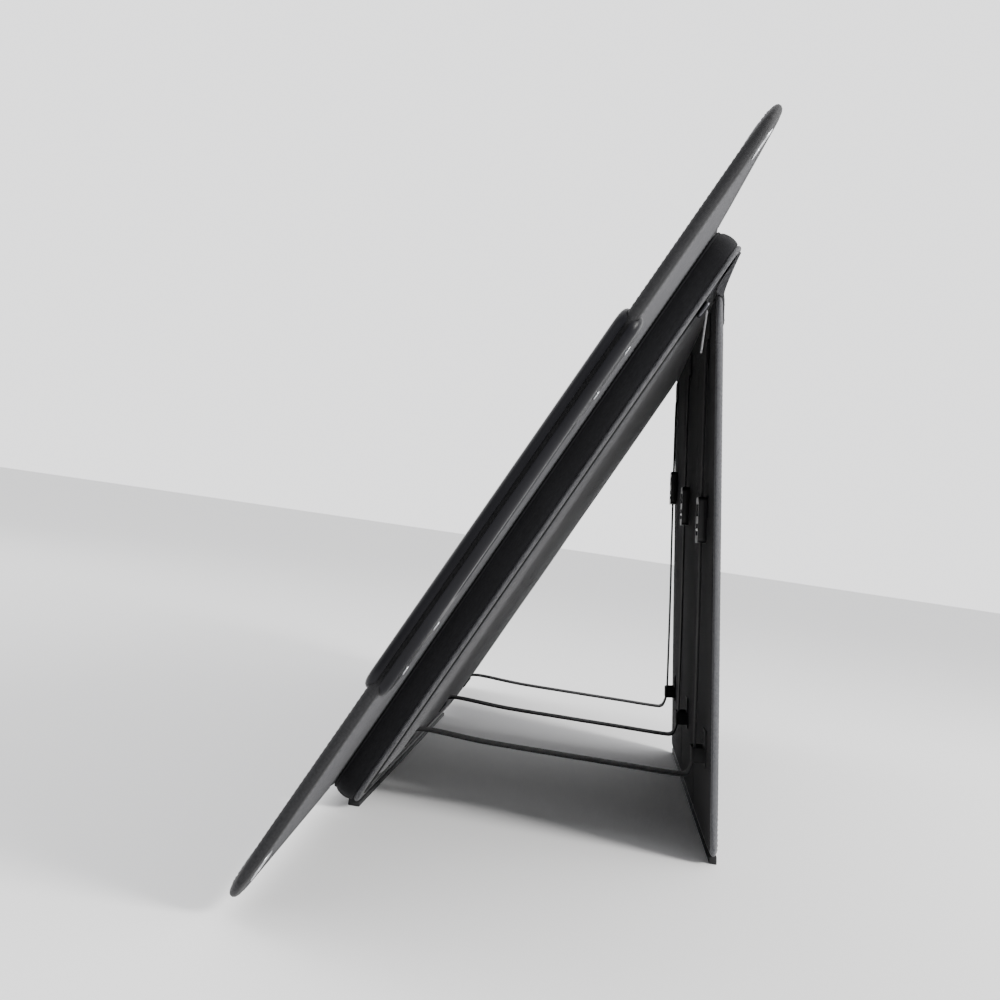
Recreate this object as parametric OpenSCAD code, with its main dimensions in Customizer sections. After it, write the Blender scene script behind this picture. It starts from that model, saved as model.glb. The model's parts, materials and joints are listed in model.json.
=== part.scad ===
// Folding solar panel with a padded carry case and a fold-out rear stand.
// Three array sections stand on a leaning case; the case's rear flap is the stand leg.
// Millimetres, +Z up. Width runs along X, the panel faces -Y, and the floor is z = 0.

/* [Stance] */
// Angle between the array and the floor
lean_angle = 63.5; // [55:0.5:75]
// Angle between the stand flap and the vertical
flap_angle = 7.4; // [4:0.1:14]
// How far the wings hang back from the plane of the centre section
wing_droop = 2.4; // [0:0.1:5]

/* [Array] */
// Width of the centre section
centre_w = 600; // [500:10:700]
// Width of each wing
wing_w = 296; // [240:2:296]
// Height of the array along its slope
array_h = 540; // [480:10:600]
// Total thickness at the edge binding
array_t = 7.5; // [6:0.5:10]
// Width of the edge binding
binding_w = 9; // [6:1:14]
// Thickness of the foam-cored stiffener boards
board_t = 4.2; // [3:0.2:5]
// Thickness of the cell laminate
laminate_t = 1.4; // [1:0.2:2]
// Thickness of the covering fabric
fabric_t = 1.2; // [0.8:0.1:1.6]
// Fabric margin between a wing's laminate and its free edge
handle_margin = 64; // [56:1:80]
// Gap between sections at each fold
fold_gap = 5; // [3:1:8]

/* [Handles] */
// Length of a handle along the free edge
handle_l = 256; // [200:2:300]
// Width of a handle shell across the panel
handle_w = 50; // [44:1:54]
// How far a handle shell stands off the panel
handle_proud = 3.5; // [2.5:0.1:5]
// Length of the hand slot
slot_l = 118; // [100:1:140]
// Width of the hand slot
slot_w = 24; // [20:1:28]

/* [Case] */
// Depth of the case
case_t = 23; // [18:1:30]
// Height of the case along its slope
case_h = 536; // [480:2:560]
// Corner radius of the case
case_r = 24; // [16:1:34]
// Diameter of the piping
piping_d = 4.4; // [3:0.2:6]
// Width of the zipper tape
zip_w = 11; // [9:1:16]
// Height of the case's lowest corner above the floor
case_lift = 4; // [3:0.5:8]

/* [Stand flap] */
// Thickness of the flap
flap_t = 5.8; // [4.6:0.2:8]
// Distance of the flap's hinge line up the case
flap_hinge_s = 496; // [470:1:505]
// Width of each stiffened field of the flap
flap_field_w = 178; // [160:1:178]

/* [Straps] */
// Distance of the outer straps from the middle
strap_x = 225; // [200:1:250]
// Width of the webbing
web_w = 20; // [15:1:25]
// Thickness of the webbing
web_t = 1.4; // [1:0.1:2]
// Height at which the straps cross to the flap
strap_z = 60; // [45:1:80]
// Length of a buckle
buckle_l = 38; // [30:1:46]

/* [Hidden] */
$fn = 48;

RIGHT = 1;
LEFT = -1;
tilt = 90 - lean_angle;
case_front = array_t + 0.3;
case_back = case_front + case_t;
array_low = -2;

// Case outline and its layers, from the array's back to the flap
case_half = centre_w / 2;
front_panel_t = 2.5;
pad_t = 6;
gusset_wall = 3;
rim = piping_d + 0.2;
zip_inset = rim + 0.3;
pad_inset = zip_inset + zip_w;
pad_proud = 1.6;

// The flap's hinge line, and the middle of the whole stance along Y
hinge_t = 2.4;
hinge_y = flap_hinge_s * sin(tilt) + hinge_t * cos(tilt);
hinge_z = case_lift + flap_hinge_s * cos(tilt) - hinge_t * sin(tilt);
flap_l = hinge_z / cos(flap_angle);
front_y = array_low * sin(tilt) - case_back * cos(tilt);
back_y = hinge_y + flap_l * sin(flap_angle) + flap_t / cos(flap_angle) - 0.4;
base_y = -(front_y + back_y) / 2;

// Straps: distances down the flap of the crossing, the keepers and the seam at the top
cross_w = (hinge_z - strap_z) / cos(flap_angle);
keeper_h = 30;
run_top_w = 40;
run_top_off = 3;
run_lean = 1.1;
run_l = cross_w - run_top_w - 3;
cross_off = run_top_off + run_l * sin(run_lean);
buckle_w = [134, 162, 180];
buckle_t = 7;

fold_x = centre_w / 2 + fold_gap / 2;
eyelet_in = 22;
eyelet_bore = 10;
eyelet_flange = 20;
handle_mid = array_low + array_h / 2;
slot_x = wing_w - 28;
screw_d = 3;
handle_seam = 2.8;

// Frame of the leaning array and case: x is width, y is depth to the rear, z runs up the slope.
module lean() {
    translate([0, base_y, case_lift]) rotate([-tilt, 0, 0]) translate([0, -case_back, 0])
        children();
}

// Frame of a wing, with x from the fold to the free edge.
module wing(side) {
    lean() mirror([side == LEFT ? 1 : 0, 0, 0])
        translate([fold_x, 0, 0]) rotate([0, 0, wing_droop]) children();
}

// Frame of the flap: y is depth to the rear from its inner face, z is zero at the hinge.
module flap() {
    translate([0, base_y + hinge_y, hinge_z]) rotate([flap_angle, 0, 0]) children();
}

// Rectangle from a to b with rounded corners.
module rounded(a, b, r) {
    translate([a.x + r, a.y]) square([b.x - a.x - 2 * r, b.y - a.y]);
    translate([a.x, a.y + r]) square([b.x - a.x, b.y - a.y - 2 * r]);
    for (x = [a.x + r, b.x - r], y = [a.y + r, b.y - r])
        translate([x, y]) circle(r = r);
}

// Rectangle from a to b that is rounded at its right-hand corners only.
module rounded_right(a, b, r) {
    translate([a.x, a.y]) square([b.x - a.x - r, b.y - a.y]);
    translate([a.x, a.y + r]) square([b.x - a.x, b.y - a.y - 2 * r]);
    for (y = [a.y + r, b.y - r])
        translate([b.x - r, y]) circle(r = r);
}

// Plate that stands in the x-z plane, between two depths.
module plate(y0, y1) {
    translate([0, y1, 0]) rotate([90, 0, 0]) linear_extrude(y1 - y0) children();
}

// Stadium outline along the slope, centred on a point.
module stadium(mid, l, w) {
    translate([mid.x - w / 2, mid.y - (l - w) / 2]) square([w, l - w]);
    for (s = [-1, 1])
        translate([mid.x, mid.y + s * (l - w) / 2]) circle(d = w);
}

// Array sections

array_top = array_low + array_h;
laminate_y = 0.3;
board_y = laminate_y + laminate_t;
back_y0 = board_y + board_t;
skin_y = back_y0 + fabric_t;

module centre_outline(inset) {
    translate([-centre_w / 2 + inset, array_low + inset])
        square([centre_w - 2 * inset, array_h - 2 * inset]);
}

module centre_window() {
    translate([-centre_w / 2 + 20, array_low + 22]) square([centre_w - 40, array_h - 44]);
}

module wing_outline(inset) {
    rounded_right([inset, array_low + inset], [wing_w - inset, array_top - inset], 20 - inset);
}

module wing_window() {
    translate([20, array_low + 22]) square([wing_w - 20 - handle_margin, array_h - 44]);
}

module hand_slot(extra = 0) {
    stadium([slot_x, handle_mid], slot_l + 2 * extra, slot_w + 2 * extra);
}

module eyelet_places() {
    for (s = [array_low + eyelet_in, array_top - eyelet_in])
        translate([wing_w - eyelet_in, s]) children();
}

module wing_openings() {
    hand_slot(2);
    eyelet_places() circle(d = eyelet_bore + 3);
    screw_places() circle(d = screw_d + 0.4);
}

module centre_front_cover() {
    color("#26282c") lean() plate(0, board_y) difference() {
        centre_outline(binding_w);
        centre_window();
    }
}

module centre_laminate() {
    color("#10131d") lean() plate(laminate_y, board_y) centre_window();
}

module centre_board() {
    color("#3a3c33") lean() plate(board_y, back_y0) centre_outline(binding_w);
}

module centre_back_cover() {
    color("#3b3d42") lean() plate(back_y0, skin_y) centre_outline(binding_w);
}

module centre_binding() {
    color("#1b1c1f") lean() plate(0, array_t) difference() {
        centre_outline(0);
        centre_outline(binding_w);
    }
}

module wing_front_cover(side) {
    color("#26282c") wing(side) plate(0, board_y) difference() {
        wing_outline(binding_w);
        wing_window();
        wing_openings();
    }
}

module wing_laminate(side) {
    color("#10131d") wing(side) plate(laminate_y, board_y) wing_window();
}

module wing_board(side) {
    color("#3a3c33") wing(side) plate(board_y, back_y0) difference() {
        wing_outline(binding_w);
        wing_openings();
    }
}

module wing_back_cover(side) {
    color("#3b3d42") wing(side) plate(back_y0, skin_y) difference() {
        wing_outline(binding_w);
        wing_openings();
    }
}

module wing_binding(side) {
    color("#1b1c1f") wing(side) plate(0, array_t) difference() {
        wing_outline(0);
        wing_outline(binding_w);
    }
}

// Fabric strip that joins a wing to the centre section and bends when the wing folds.
module fold_strip(side) {
    color("#1b1c1f") lean() mirror([side == LEFT ? 1 : 0, 0, 0])
        translate([centre_w / 2 + 0.1, 0.4, array_low]) cube([fold_gap / 2 - 0.25, 0.8, array_h]);
}

// Handles and eyelets

module handle_outline() {
    rounded([wing_w - handle_w, handle_mid - handle_l / 2],
        [wing_w + handle_proud, handle_mid + handle_l / 2], 14);
}

module screw_places() {
    for (s = [-1, 1], k = [0.31, 0.43])
        translate([wing_w - 24, handle_mid + s * k * handle_l]) children();
}

// Half of the moulded handle: a plate around the hand slot, and a lip over the free edge.
module handle_shell(side, y0, y1, lip0, lip1) {
    color("#2b2d31") wing(side) difference() {
        union() {
            plate(y0, y1) handle_outline();
            plate(lip0, lip1) intersection() {
                handle_outline();
                translate([wing_w + 0.2, 0]) square([handle_proud, array_top]);
            }
        }
        plate(y0 - 1, y1 + 1) {
            hand_slot();
            screw_places() circle(d = screw_d + 0.4);
        }
    }
}

module handle_front(side) {
    handle_shell(side, -handle_proud, -0.05, -0.5, (array_t - handle_seam) / 2);
}

module handle_back(side) {
    handle_shell(side, array_t + 0.05, array_t + handle_proud, (array_t + handle_seam) / 2,
        array_t + 0.5);
}

// Screws that clamp the two shells through the wing, with their heads at the back.
module handle_screws(side) {
    back = array_t + handle_proud;
    color("#8c8f94") wing(side) {
        plate(-handle_proud + 1, back) screw_places() circle(d = screw_d);
        plate(back, back + 0.9) screw_places() circle(d = 2 * screw_d);
    }
}

// Flanged eyelets, with the bore that a hook or a peg goes through.
module eyelets(side) {
    color("#9a9ca0") wing(side)
        for (s = [array_low + eyelet_in, array_top - eyelet_in])
            translate([wing_w - eyelet_in, 0, s]) rotate([-90, 0, 0]) difference() {
                union() {
                    translate([0, 0, -0.8]) cylinder(d = eyelet_flange, h = 0.75);
                    translate([0, 0, -0.8]) cylinder(d = eyelet_bore + 2, h = array_t + 0.8);
                    translate([0, 0, skin_y + 0.05]) cylinder(d = eyelet_flange, h = 0.75);
                }
                translate([0, 0, -2]) cylinder(d = eyelet_bore, h = array_t + 4);
            }
}

// Case

module case_outline(inset) {
    rounded([-case_half + inset, inset], [case_half - inset, case_h - inset], case_r - inset);
}

module case_front_panel() {
    color("#1d1e21") lean() plate(case_front, case_front + front_panel_t) case_outline(0);
}

module case_gusset() {
    color("#17181b") lean()
        plate(case_front + front_panel_t, case_back - rim) difference() {
            case_outline(0);
            case_outline(gusset_wall);
        }
}

// Padded rear face, which closes the pocket and carries the zipper around its edge.
module case_back_pad() {
    color("#43464c") lean() {
        plate(case_back - pad_t, case_back - 1) case_outline(rim);
        plate(case_back - 1, case_back + pad_proud) case_outline(pad_inset);
    }
}

// Round piping along the case's rear edge.
module case_piping() {
    r = piping_d / 2;
    ring = case_r - r - 0.05;
    x = case_half - case_r;
    color("#4b4e54") lean() translate([0, case_back - r - 0.1, 0]) {
        for (corner = [[x, case_r, 270], [x, case_h - case_r, 0],
                [-x, case_h - case_r, 90], [-x, case_r, 180]])
            translate([corner.x, 0, corner.y]) rotate([90, -corner.z, 0])
                rotate_extrude(angle = 90) translate([ring, 0]) circle(r = r, $fn = 24);
        for (z = [r + 0.05, case_h - r - 0.05])
            translate([-x, 0, z]) rotate([0, 90, 0]) cylinder(r = r, h = 2 * x, $fn = 24);
        for (side = [-1, 1])
            translate([side * (case_half - r - 0.05), 0, case_r])
                cylinder(r = r, h = case_h - 2 * case_r, $fn = 24);
    }
}

// Zipper tape with its coil, around the two sides and the bottom of the rear face.
module zipper_tape() {
    coil_in = zip_inset + zip_w / 2;
    color("#101113") lean() difference() {
        union() {
            plate(case_back - 0.95, case_back - 0.1) difference() {
                case_outline(zip_inset);
                case_outline(pad_inset - 0.1);
            }
            plate(case_back - 0.2, case_back + 0.9) difference() {
                case_outline(coil_in - 1.5);
                case_outline(coil_in + 1.5);
            }
        }
        translate([-case_half, case_back - 3, flap_hinge_s - 6]) cube([centre_w, 10, 100]);
    }
}

slider_s = 476;
slider_x = case_half - zip_inset - zip_w / 2;

module zipper_slider() {
    color("#5a5c60") lean() translate([slider_x, case_back + 1.2, slider_s])
        plate(0, 3.2) stadium([0, 0], 15, 8);
}

// Pull tab, which hangs straight down from the slider.
module zipper_pull() {
    color("#2a2c2f") lean() translate([slider_x, case_back + 5.1, slider_s]) rotate([tilt, 0, 0])
        plate(0, 1.4) difference() {
            stadium([0, -16], 34, 7);
            stadium([0, -5], 6, 3);
        }
}

// Rubber wedge that the case's lower edge stands on.
module case_base_strip() {
    depth = 8;
    color("#141517") translate([-case_half + case_r, base_y, 0]) rotate([90, 0, 90])
        linear_extrude(centre_w - 2 * case_r) polygon([
            [1.5, 0], [-depth, 0], [-depth, case_lift + depth * tan(tilt) - 0.1],
            [-0.1, case_lift - 0.1], [1.5, case_lift - 0.1]
        ]);
}

// Strip of fabric between the case's top edge and the flap.
module flap_hinge_strip() {
    color("#3d4046") lean() plate(case_back + pad_proud + 0.1, case_back + pad_proud + 1.3)
        rounded([-case_half + 14, flap_hinge_s + 8], [case_half - 14, case_h - 6], 8);
}

// Box-stitched patches where the straps leave the case.
module strap_anchors() {
    patch_s = (strap_z - case_lift) / cos(tilt);
    color("#1c1d20") lean() for (x = [-strap_x, 0, strap_x])
        plate(case_back + pad_proud + 0.05, case_back + pad_proud + 1.65)
            rounded([x - 16, patch_s - 34], [x + 16, patch_s - 2], 3);
}

// Charge regulator inside the case

reg_w = 150;
reg_h = 84;
reg_s = 40;
reg_y = case_front + front_panel_t;

module regulator_housing() {
    color("#222326") lean() difference() {
        plate(reg_y, reg_y + 8) rounded([-reg_w / 2, reg_s], [reg_w / 2, reg_s + reg_h], 8);
        plate(reg_y + 2, reg_y + 9)
            rounded([-reg_w / 2 + 2.4, reg_s + 2.4], [reg_w / 2 - 2.4, reg_s + reg_h - 2.4], 6);
        for (x = [-45, 0, 45])
            translate([x - 7, reg_y + 2.6, reg_s + reg_h - 4]) cube([14, 5.4 + 1, 6]);
    }
}

module regulator_cover() {
    color("#2a2b2f") lean()
        plate(reg_y + 8, reg_y + 10) rounded([-reg_w / 2, reg_s], [reg_w / 2, reg_s + reg_h], 8);
}

module regulator_board() {
    color("#1f5a36") lean() plate(reg_y + 2.05, reg_y + 3.65)
        rounded([-reg_w / 2 + 4, reg_s + 4], [reg_w / 2 - 4, reg_s + reg_h - 22], 3);
}

// Three output sockets in the regulator's upper wall.
module output_sockets() {
    color("#b9bcc0") lean() for (x = [-45, 0, 45])
        translate([x - 6.9, reg_y + 2.7, reg_s + reg_h - 18]) difference() {
            cube([13.8, 5.2, 18]);
            translate([1, 1, 4]) cube([11.8, 3.2, 15]);
        }
}

// Stand flap

flap_half = case_half - pad_inset - 2.5;
skin_t = 1.1;

module flap_outline(inset) {
    rounded([-flap_half + inset, -flap_l + 6 + inset], [flap_half - inset, -1 - inset],
        10 - inset / 2);
}

module flap_lining() {
    color("#16171a") flap() plate(0, skin_t) flap_outline(5);
}

module flap_cover() {
    color("#3d4046") flap() plate(flap_t - skin_t, flap_t) flap_outline(5);
}

module flap_board(x) {
    color("#3a3c33") flap() plate(skin_t + 0.05, flap_t - skin_t - 0.05)
        translate([x - flap_field_w / 2, -flap_l + 14]) square([flap_field_w, flap_l - 22]);
}

module flap_binding() {
    color("#55585e") flap() plate(0, flap_t) difference() {
        flap_outline(0);
        flap_outline(5);
    }
}

// Moulded strip along the flap's lower edge, cut level with the floor.
module flap_foot() {
    color("#1b1c1f") intersection() {
        flap() translate([-flap_half + 10, -0.2, -flap_l - 4])
            cube([2 * flap_half - 20, flap_t + 0.4, 9.9]);
        translate([-centre_w, 0, 0]) cube([2 * centre_w, 400, 60]);
    }
}

// Frame of a strap's run: y is depth to the rear, z is zero at the seam at the top.
module run(x) {
    flap() translate([x, -run_top_off, -run_top_w]) rotate([-run_lean, 0, 0]) children();
}

// Stitched loops that turn the straps up the flap.
module strap_keepers() {
    loop = cross_off + 2.6;
    color("#1c1d20") flap() for (x = [-strap_x, 0, strap_x])
        translate([x, 0, -cross_w]) {
            translate([-web_w / 2 - 3, -1.5, 8]) cube([web_w + 6, 1.45, keeper_h]);
            for (side = [-1, 1])
                translate([side * (web_w / 2 + 2) - 1, -loop, 12]) cube([2, loop - 1.45, 12]);
            translate([-web_w / 2 - 3, -loop, 12]) cube([web_w + 6, 1.4, 12]);
        }
}

// Free span of a strap between the case and the flap.
module strap_span(x) {
    start_y = base_y + (strap_z - case_lift) * tan(tilt) + (pad_proud + 2) / cos(tilt);
    end_y = base_y + hinge_y + cross_w * sin(flap_angle) - cross_off - 1;
    color("#131416") translate([x - web_w / 2, start_y, strap_z - web_t / 2])
        cube([web_w, end_y - start_y, web_t]);
}

// Run of a strap up the flap's inner face, with the tab that is sewn down at its top.
module strap_run(x) {
    tab = run_top_off + web_t / 2 + 0.5;
    color("#131416") {
        run(x) translate([-web_w / 2, -web_t / 2, -run_l]) cube([web_w, web_t, run_l]);
        flap() translate([x - web_w / 2 - 1, -tab, -run_top_w - 10])
            cube([web_w + 2, tab - 0.05, 12]);
    }
}

// Ladder buckle: a frame with two windows that the webbing runs through.
module buckle(x, w) {
    rail = 4;
    outer_w = web_w + 2 * rail + 1;
    color("#1d1e20") run(x) translate([0, 0, run_top_w - w]) difference() {
        plate(-buckle_t / 2, buckle_t / 2)
            rounded([-outer_w / 2, -buckle_l / 2], [outer_w / 2, buckle_l / 2], 4);
        translate([-web_w / 2 - 0.5, -web_t / 2 - 0.25, -buckle_l])
            cube([web_w + 1, web_t + 0.5, 2 * buckle_l]);
        for (z = [-13, 3])
            plate(-buckle_t, buckle_t) rounded([-web_w / 2 - 0.5, z], [web_w / 2 + 0.5, z + 10], 2);
    }
}

// Steel bar in a buckle's lower window, which the webbing bears on.
module buckle_bar(x, w) {
    color("#a7aaae") run(x) translate([-web_w / 2 - 0.4, -2.4, run_top_w - w - 8])
        rotate([0, 90, 0]) cylinder(d = 2.4, h = web_w + 0.8, $fn = 24);
}

// Drawing

centre_front_cover();
centre_laminate();
centre_board();
centre_back_cover();
centre_binding();
wing_front_cover(RIGHT);  // right_front_cover
wing_laminate(RIGHT);  // right_laminate
wing_board(RIGHT);  // right_board
wing_back_cover(RIGHT);  // right_back_cover
wing_binding(RIGHT);  // right_binding
wing_front_cover(LEFT);  // left_front_cover
wing_laminate(LEFT);  // left_laminate
wing_board(LEFT);  // left_board
wing_back_cover(LEFT);  // left_back_cover
wing_binding(LEFT);  // left_binding
fold_strip(RIGHT);  // right_fold_strip
fold_strip(LEFT);  // left_fold_strip
handle_front(RIGHT);  // right_handle_front
handle_back(RIGHT);  // right_handle_back
handle_screws(RIGHT);  // right_handle_screws
handle_front(LEFT);  // left_handle_front
handle_back(LEFT);  // left_handle_back
handle_screws(LEFT);  // left_handle_screws
eyelets(RIGHT);  // right_eyelets
eyelets(LEFT);  // left_eyelets
case_front_panel();
case_gusset();
case_back_pad();
case_piping();
zipper_tape();
zipper_slider();
zipper_pull();
case_base_strip();
flap_hinge_strip();
strap_anchors();
regulator_housing();
regulator_cover();
regulator_board();
output_sockets();
flap_lining();
flap_board(flap_field_w + 8);  // flap_board_right
flap_board(0);  // flap_board_centre
flap_board(-flap_field_w - 8);  // flap_board_left
flap_cover();
flap_binding();
flap_foot();
strap_keepers();
strap_span(strap_x);  // right_strap_span
strap_run(strap_x);  // right_strap_run
buckle(strap_x, buckle_w[2]);  // right_buckle
buckle_bar(strap_x, buckle_w[2]);  // right_buckle_bar
strap_span(0);  // centre_strap_span
strap_run(0);  // centre_strap_run
buckle(0, buckle_w[1]);  // centre_buckle
buckle_bar(0, buckle_w[1]);  // centre_buckle_bar
strap_span(-strap_x);  // left_strap_span
strap_run(-strap_x);  // left_strap_run
buckle(-strap_x, buckle_w[0]);  // left_buckle
buckle_bar(-strap_x, buckle_w[0]);  // left_buckle_bar
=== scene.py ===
"""Looks of the folding solar panel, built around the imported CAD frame. Metres, +Z up."""

import json
import math

import bmesh
import bpy
import numpy as np
from mathutils import Matrix, Vector


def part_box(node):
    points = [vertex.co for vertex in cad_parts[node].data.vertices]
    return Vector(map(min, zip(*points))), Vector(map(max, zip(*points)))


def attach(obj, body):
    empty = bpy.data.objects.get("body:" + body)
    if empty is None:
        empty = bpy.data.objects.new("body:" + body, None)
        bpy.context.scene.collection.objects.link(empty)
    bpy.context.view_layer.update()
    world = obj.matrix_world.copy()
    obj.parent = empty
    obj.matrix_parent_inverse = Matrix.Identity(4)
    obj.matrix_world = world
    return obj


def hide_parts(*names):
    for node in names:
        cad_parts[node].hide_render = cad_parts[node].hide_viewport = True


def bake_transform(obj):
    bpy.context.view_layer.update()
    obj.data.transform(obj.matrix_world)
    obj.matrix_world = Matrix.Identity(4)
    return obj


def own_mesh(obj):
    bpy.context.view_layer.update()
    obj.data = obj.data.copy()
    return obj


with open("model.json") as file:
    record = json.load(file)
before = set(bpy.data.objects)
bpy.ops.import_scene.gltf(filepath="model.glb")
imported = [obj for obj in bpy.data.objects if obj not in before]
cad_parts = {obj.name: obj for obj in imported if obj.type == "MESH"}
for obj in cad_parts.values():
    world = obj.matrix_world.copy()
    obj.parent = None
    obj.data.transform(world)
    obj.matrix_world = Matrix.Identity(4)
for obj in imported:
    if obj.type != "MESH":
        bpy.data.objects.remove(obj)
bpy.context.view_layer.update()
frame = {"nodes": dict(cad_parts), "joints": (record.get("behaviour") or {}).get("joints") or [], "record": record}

MM = 0.001
JOINTS = {j["name"]: j for j in frame["joints"]}
MOUNTS = {m["name"]: m for m in frame["record"]["mounts"]}
SIDES = {"right": 1, "left": -1}


# ---- frames of reference


class Place:
    """A frame on the object: x runs across, y to the rear and z up the part."""

    def __init__(self, origin, x, y, z):
        self.origin, self.x, self.y, self.z = (Vector(v) for v in (origin, x, y, z))
        self.axes = np.array([self.x, self.y, self.z])

    def at(self, points):
        return np.asarray(points, float) @ self.axes + np.array(self.origin)

    def local(self, points):
        return (np.asarray(points, float) - np.array(self.origin)) @ self.axes.T

    def box(self, node):
        """Lowest and highest corner of a CAD node in this frame."""
        local = self.local([v.co for v in frame["nodes"][node].data.vertices])
        return local.min(0), local.max(0)


def largest_normal(node, towards):
    """Normal of a CAD node's largest flat face that looks along the vector towards."""
    sizes = {}
    for face in frame["nodes"][node].data.polygons:
        if face.normal.dot(Vector(towards)) > 0.5:
            key = tuple(round(c, 3) for c in face.normal)
            total, normal = sizes.get(key, (0, face.normal.copy()))
            sizes[key] = (total + face.area, normal)
    return max(sizes.values(), key=lambda s: s[0])[1].normalized()


ACROSS = Vector((1, 0, 0))
UP = Vector(JOINTS["left_wing_fold"]["axis"]).normalized()
BACK = UP.cross(ACROSS)
LEAN = Place((0, 0, 0), ACROSS, BACK, UP)


def wing_place(side):
    mount = MOUNTS[f"{side}_lower_eyelet"]
    back = Vector(mount["axis"]).normalized()
    out = (back.cross(UP) if side == "right" else UP.cross(back)).normalized()
    return Place(JOINTS[f"{side}_wing_fold"]["pos_m"], out, back, UP)


WINGS = {side: wing_place(side) for side in SIDES}
FLAP_BACK = largest_normal("flap_cover", (0, 1, 0))
FLAP = Place(JOINTS["flap_swing"]["pos_m"], ACROSS, FLAP_BACK, ACROSS.cross(FLAP_BACK))
RUN_DOWN = Vector(JOINTS["right_buckle_slide"]["axis"]).normalized()
RUN_BACK = ACROSS.cross(RUN_DOWN)


# ---- materials


class Shader:
    """A new material and the nodes that make it."""

    def __init__(self, name):
        self.material = bpy.data.materials.new(name)
        self.material.use_nodes = True
        self.nodes, self.links = self.material.node_tree.nodes, self.material.node_tree.links
        self.inputs = self.nodes["Principled BSDF"].inputs

    def add(self, kind, **values):
        node = self.nodes.new("ShaderNode" + kind)
        for socket, value in values.items():
            node.inputs[socket].default_value = value
        return node

    def feed(self, socket, value):
        """Sets a socket to a number or a colour, or links another node's output to it."""
        if isinstance(value, (int, float)):
            socket.default_value = value
        elif isinstance(value, tuple):
            socket.default_value = (*value, 1)
        else:
            self.links.new(value, socket)

    def drive(self, socket, value):
        self.links.new(value, self.inputs[socket])

    def constants(self, values):
        for socket, value in values.items():
            self.inputs[socket].default_value = value
        return self.material

    def coords(self, *scale):
        """Object coordinates turned so that they run across, to the rear and up the part."""
        turn = self.add("Mapping", Rotation=(math.atan2(LEAN.z.y, LEAN.z.z), 0, 0))
        size = self.add("Mapping", Scale=scale)
        self.links.new(self.add("TexCoord").outputs["Object"], turn.inputs["Vector"])
        self.links.new(turn.outputs["Vector"], size.inputs["Vector"])
        return size.outputs["Vector"]

    def noise(self, vector, scale, detail):
        node = self.add("TexNoise", Scale=scale, Detail=detail, Roughness=0.6)
        self.links.new(vector, node.inputs["Vector"])
        return node.outputs["Fac"]

    def band(self, vector, axis, period):
        """Stripes across an axis, with the given period in metres."""
        node = self.add("TexWave", Scale=2 * math.pi / (20 * period))
        node.bands_direction = axis
        self.links.new(vector, node.inputs["Vector"])
        return node.outputs["Fac"]

    def ramp(self, value, *stops):
        node = self.add("ValToRGB")
        elements = node.color_ramp.elements
        while len(elements) < len(stops):
            elements.new(0.5)
        for element, (position, colour) in zip(elements, stops):
            element.position = position
            element.color = (*colour, 1)
        self.links.new(value, node.inputs["Fac"])
        return node.outputs["Color"]

    def calc(self, operation, a, b):
        node = self.add("Math")
        node.operation = operation
        self.feed(node.inputs[0], a)
        self.feed(node.inputs[1], b)
        return node.outputs[0]

    def mix(self, blend, factor, a, b):
        node = self.add("Mix")
        node.data_type = "RGBA"
        node.blend_type = blend
        for socket, value in ((0, factor), (6, a), (7, b)):
            self.feed(node.inputs[socket], value)
        return node.outputs[2]

    def bump(self, height, strength, distance):
        node = self.add("Bump", Strength=strength, Distance=distance)
        self.links.new(height, node.inputs["Height"])
        self.drive("Normal", node.outputs["Normal"])


def woven(name, dark, light, thread=0.9 * MM, melange=0.5, sheen=0.12):
    """Plain-weave fabric: crossed threads, a melange of fibres, and faint large patches."""
    paint = Shader(name)
    plain = paint.coords(1, 1, 1)
    across, upward = (paint.noise(paint.coords(*scale), 230, 4) for scale in ((1, 7, 7), (7, 7, 1)))
    fibres = paint.calc("ADD", paint.calc("MULTIPLY", across, 0.5), paint.calc("MULTIPLY", upward, 0.5))
    middle = tuple((a + b) / 2 for a, b in zip(dark, light))
    spread = 0.25 - 0.16 * melange
    colour = paint.ramp(fibres, (0.5 - spread, dark), (0.5, middle), (0.5 + spread, light))
    shade = paint.ramp(paint.noise(plain, 9, 2), (0.3, (0.86,) * 3), (0.7, (1.08,) * 3))
    paint.drive("Base Color", paint.mix("MULTIPLY", 1.0, colour, shade))
    weave = paint.calc("MAXIMUM", paint.band(plain, "X", thread), paint.band(plain, "Z", thread))
    paint.bump(paint.calc("ADD", weave, paint.calc("MULTIPLY", fibres, 0.8)), 0.5, 0.25 * MM)
    paint.drive("Roughness", paint.ramp(fibres, (0.3, (0.92,) * 3), (0.7, (0.8,) * 3)))
    return paint.constants({"Sheen Weight": sheen, "Sheen Roughness": 0.4, "Specular IOR Level": 0.16})


def ribbed(name, dark, light, period, axis="Z", sheen=0.15):
    """Webbing or binding tape: cross ribs with a fine fibre grain."""
    paint = Shader(name)
    plain = paint.coords(1, 1, 1)
    weave = paint.calc("MULTIPLY", paint.band(plain, axis, period), paint.band(plain, "X", period * 1.4))
    grain = paint.noise(plain, 900, 4)
    value = paint.calc("ADD", paint.calc("MULTIPLY", weave, 0.5), grain)
    paint.drive("Base Color", paint.ramp(value, (0.35, dark), (0.95, light)))
    paint.bump(value, 0.6, 0.3 * MM)
    paint.drive("Roughness", paint.ramp(grain, (0.3, (0.8,) * 3), (0.7, (0.65,) * 3)))
    return paint.constants({"Sheen Weight": sheen, "Specular IOR Level": 0.3})


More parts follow.
